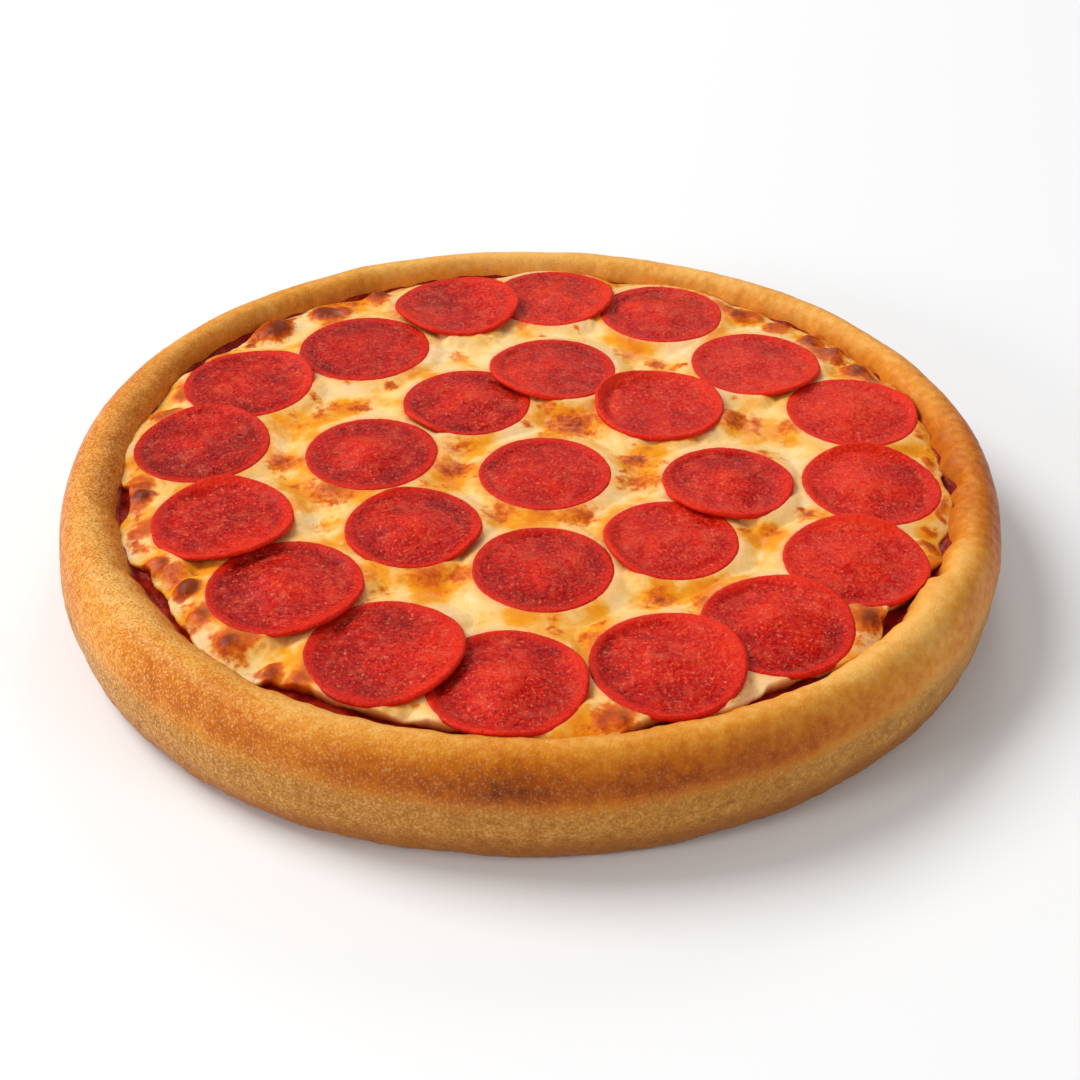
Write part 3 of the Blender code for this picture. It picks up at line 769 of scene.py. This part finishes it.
class Finish:
    """A material and the few kinds of node that the finishes are made of."""

    def __init__(self, name, **constants):
        self.material = bpy.data.materials.new(name + "_finish")
        self.material.use_nodes = True
        self.tree = self.material.node_tree
        self.shader = self.tree.nodes["Principled BSDF"]
        for label, value in constants.items():
            self.shader.inputs[label.replace("_", " ")].default_value = value
        self.place = self.tree.nodes.new("ShaderNodeTexCoord").outputs["Object"]

    def node(self, kind, inputs, **settings):
        made = self.tree.nodes.new("ShaderNode" + kind)
        for label, value in settings.items():
            setattr(made, label, value)
        for label, value in inputs.items():
            if isinstance(value, bpy.types.NodeSocket):
                self.tree.links.new(value, made.inputs[label])
            else:
                made.inputs[label].default_value = value
        return made

    def value(self, label):
        return self.node("Attribute", {}, attribute_name=label).outputs["Fac"]

    def noise(self, size, detail=3.0, roughness=0.55):
        inputs = {"Vector": self.place, "Scale": 1 / size, "Detail": detail, "Roughness": roughness}
        return self.node("TexNoise", inputs).outputs["Fac"]

    def cells(self, size):
        return self.node("TexVoronoi", {"Vector": self.place, "Scale": 1 / size}).outputs["Distance"]

    def math(self, operation, a, b, clamp=False):
        return self.node("Math", {0: a, 1: b}, operation=operation, use_clamp=clamp).outputs[0]

    def plus(self, first, *others):
        for other in others:
            first = self.math("ADD", first, other)
        return first

    def times(self, first, *others):
        for other in others:
            first = self.math("MULTIPLY", first, other)
        return first

    def about(self, value, weight):
        """A noise's distance from its middle, times a weight."""
        return self.times(self.math("SUBTRACT", value, 0.5), weight)

    def rest(self, share):
        return self.math("SUBTRACT", 1.0, share)

    def range(self, value, low, high, to_low=0.0, to_high=1.0):
        inputs = {"Value": value, "From Min": low, "From Max": high, "To Min": to_low, "To Max": to_high}
        return self.node("MapRange", inputs, interpolation_type="SMOOTHSTEP").outputs["Result"]

    def ramp(self, value, stops):
        made = self.node("ValToRGB", {"Fac": value})
        elements = made.color_ramp.elements
        while len(elements) < len(stops):
            elements.new(0.5)
        for element, (at, colour) in zip(elements, stops):
            element.position = at
            element.color = linear(colour)
        return made.outputs["Color"]

    def mix(self, share, under, over):
        """A socket's colour under another socket's colour, or a plain one, by share."""
        if not isinstance(over, bpy.types.NodeSocket):
            over = linear(over)
        return self.node("Mix", {0: share, 6: under, 7: over}, data_type="RGBA").outputs[2]

    def feed(self, label, socket):
        self.tree.links.new(socket, self.shader.inputs[label])

    def bumps(self, *layers):
        """Feeds the normal with height layers, each with its depth, one on top of the other."""
        normal = {}
        for height, depth in layers:
            made = self.node("Bump", {"Height": height, "Distance": depth, "Strength": 1.0, **normal})
            normal = {"Normal": made.outputs["Normal"]}
        self.feed("Normal", normal["Normal"])


def crust_finish():
    made = Finish("crust", Specular_IOR_Level=0.16, Subsurface_Weight=0.05, Subsurface_Scale=0.002)
    mottle, fine = made.noise(3.0 * MM, detail=4), made.noise(0.9 * MM)
    broad = made.noise(22 * MM)
    grain = made.noise(0.75 * MM, detail=1, roughness=0.5)
    grit_and_glint = made.value("grit_and_glint")
    bake_and_painted_light = made.plus(made.value("bake_and_painted_light"), made.about(mottle, 0.60), made.about(broad, 0.30))
    crumb = made.ramp(made.plus(made.times(fine, 0.5), made.times(mottle, 0.5)), CRUST_CRUMB)
    colour = made.mix(made.times(made.value("side"), 0.85), made.ramp(bake_and_painted_light, CRUST_BAKED), crumb)
    # Pale specks: partly the crust's grain, partly painted glints, most on the gritty left.
    colour = made.mix(made.times(made.range(grain, 0.52, 0.70), grit_and_glint), colour, PALE_GRAIN_AND_GLINT)
    colour = made.mix(made.times(made.range(grain, 0.47, 0.36), grit_and_glint), colour, GRAIN_DARK)
    colour = made.mix(made.times(made.value("stain"), 0.70), colour, SAUCE_STAIN)
    colour = made.mix(made.times(made.value("pore"), 0.35), colour, PORE_SHADE)
    # Darker towards the bottom: partly a baked edge, partly painted shade where the crust meets the floor.
    colour = made.mix(made.times(made.value("base"), 0.6), colour, BASE_BROWN_AND_SHADE)
    made.feed("Base Color", colour)
    made.feed("Roughness", made.range(mottle, 0.3, 0.7, 0.38, 0.54))
    made.bumps((made.noise(0.7 * MM), 0.14 * MM), (grain, 0.16 * MM), (made.noise(2.4 * MM), 0.16 * MM))
    return made.material


def sauce_finish():
    made = Finish("sauce", Specular_IOR_Level=0.14)
    made.feed("Base Color", made.ramp(made.noise(4 * MM, detail=4), SAUCE_RED))
    made.feed("Roughness", made.range(made.noise(1.5 * MM), 0.3, 0.7, 0.25, 0.45))
    made.bumps((made.noise(1.6 * MM), 0.40 * MM))
    return made.material


def cheese_finish():
    made = Finish(
        "cheese", Specular_IOR_Level=0.14, Subsurface_Weight=0.35,
        Subsurface_Scale=0.005, Subsurface_Radius=(1.0, 0.5, 0.2),
    )
    wander = made.about(made.noise(2.2 * MM, detail=4), 0.5)
    pale = made.ramp(made.plus(made.value("yellow"), wander), CHEESE_PALE)
    speckle = made.range(made.noise(1.8 * MM, roughness=0.6), 0.40, 0.62, 0.62, 1.25)
    # Blisters are evenly browned, flat spots in specks.
    even = made.math("MULTIPLY", made.value("blister"), 0.8, clamp=True)
    speckle = made.plus(made.times(speckle, made.rest(even)), even)
    browned = made.times(made.plus(made.value("brown"), wander), speckle)
    colour = made.mix(made.range(browned, 0.06, 0.42), pale, made.ramp(browned, CHEESE_TOAST))
    colour = made.mix(made.times(made.value("oil"), 0.46), colour, CHEESE_OIL)
    herb = made.range(made.cells(2.6 * MM), 0.16, 0.06)
    made.feed("Base Color", made.mix(made.times(herb, 0.10), colour, HERB_GREEN))
    wet = made.range(made.noise(5 * MM), 0.3, 0.7, 0.20, 0.42)
    made.feed("Roughness", made.plus(wet, made.range(browned, 0.05, 0.5, 0.0, 0.12)))
    made.bumps((made.noise(1.4 * MM), 0.14 * MM), (made.noise(5 * MM), 0.35 * MM))
    return made.material


def pepperoni_finish():
    made = Finish("pepperoni", Specular_IOR_Level=0.10)
    rim, hollow_shade, tone = made.value("rim"), made.value("hollow_shade"), made.value("tone")
    grain = made.noise(1.3 * MM, detail=4, roughness=0.7)
    broad = made.noise(10 * MM)
    # Painted shade: points lower than the slice's mean are darker, the tops paler.
    depth = made.plus(made.times(hollow_shade, 0.15), 0.44, made.about(broad, 1.2), made.about(grain, 2.1))
    colour = made.ramp(made.plus(depth, made.about(tone, 0.16)), MEAT_RED)
    # Pale specks: partly fat in the meat, partly painted glints.
    fat_and_glint = made.range(made.noise(1.0 * MM, roughness=0.7), 0.56, 0.69)
    patch = made.range(made.noise(4.5 * MM, detail=2), 0.48, 0.72)
    loose = made.rest(made.times(rim, 0.6))
    colour = made.mix(made.times(patch, loose, 0.40), colour, MEAT_PATCH)
    colour = made.mix(made.times(fat_and_glint, loose, 0.58), colour, MEAT_FAT_AND_GLINT)
    made.feed("Base Color", made.mix(made.times(rim, 0.50), colour, MEAT_RIM))
    made.feed("Roughness", made.range(grain, 0.3, 0.7, 0.34, 0.20))
    made.bumps((made.noise(1.1 * MM, roughness=0.7), 0.40 * MM), (made.noise(2.6 * MM), 0.45 * MM))
    return made.material


# Stage
def make_camera():
    down, roll = math.radians(CAMERA_DOWN), math.radians(CAMERA_ROLL)
    ahead = Vector((0, math.cos(down), -math.sin(down)))
    level = Vector((1, 0, 0))
    up = level.cross(ahead)
    right = level * math.cos(roll) + up * math.sin(roll)
    above = up * math.cos(roll) - level * math.sin(roll)
    data = bpy.data.cameras.new("camera")
    data.lens = CAMERA_LENS
    data.sensor_width = 36
    data.shift_x, data.shift_y = CAMERA_SHIFT
    data.clip_start, data.clip_end = 0.01, 50
    camera = bpy.data.objects.new("camera", data)
    turned = Matrix((right, above, -ahead)).transposed().to_4x4()
    camera.matrix_world = Matrix.Translation(CAMERA_AT) @ turned
    bpy.context.scene.collection.objects.link(camera)
    bpy.context.scene.camera = camera


def area_light(name, at, aim, size, power):
    data = bpy.data.lights.new(name, "AREA")
    data.shape = "DISK"
    data.size = size
    data.energy = power
    lamp = bpy.data.objects.new(name, data)
    lamp.location = at
    lamp.rotation_mode = "QUATERNION"
    lamp.rotation_quaternion = (Vector(aim) - Vector(at)).to_track_quat("-Z", "Y")
    bpy.context.scene.collection.objects.link(lamp)


def make_floor():
    mesh = bpy.data.meshes.new("floor")
    corners = [(x * FLOOR_HALF, y * FLOOR_HALF, 0) for x, y in ((-1, -1), (1, -1), (1, 1), (-1, 1))]
    mesh.from_pydata(corners, [], [(0, 1, 2, 3)])
    floor = bpy.data.objects.new("floor", mesh)
    floor.location.z = -FLOOR_DROP
    bpy.context.scene.collection.objects.link(floor)
    pale = bpy.data.materials.new("floor")
    pale.use_nodes = True
    shader = pale.node_tree.nodes["Principled BSDF"]
    shader.inputs["Base Color"].default_value = (FLOOR_SHADE, FLOOR_SHADE, FLOOR_SHADE, 1)
    shader.inputs["Roughness"].default_value = 0.8
    shader.inputs["Specular IOR Level"].default_value = 0.2
    mesh.materials.append(pale)


def make_light():
    world = bpy.data.worlds.new("world")
    world.use_nodes = True
    sky = world.node_tree.nodes["Background"]
    sky.inputs["Color"].default_value = (1, 1, 1, 1)
    sky.inputs["Strength"].default_value = SKY_STRENGTH
    bpy.context.scene.world = world
    for light in LIGHTS:
        area_light(*light)
    bpy.context.scene.view_settings.view_transform = "Standard"


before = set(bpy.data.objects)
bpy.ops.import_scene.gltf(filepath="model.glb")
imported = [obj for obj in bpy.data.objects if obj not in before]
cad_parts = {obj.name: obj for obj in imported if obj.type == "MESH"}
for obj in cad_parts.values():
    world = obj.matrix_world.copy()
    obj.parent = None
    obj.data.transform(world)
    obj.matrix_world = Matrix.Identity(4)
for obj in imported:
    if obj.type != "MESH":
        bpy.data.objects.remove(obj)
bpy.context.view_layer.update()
make_camera()
make_floor()
make_light()
rim_turns, rim_steps, rim_points = make_crust(crust_finish())
walls = wall_map(rim_turns, rim_steps, rim_points)
laid_slices, ceiling_map = make_slices(pepperoni_finish(), walls)
make_cheese(cheese_finish(), laid_slices, ceiling_map, rim_turns, rim_steps, rim_points)
make_sauce(sauce_finish(), rim_turns, rim_steps, rim_points)
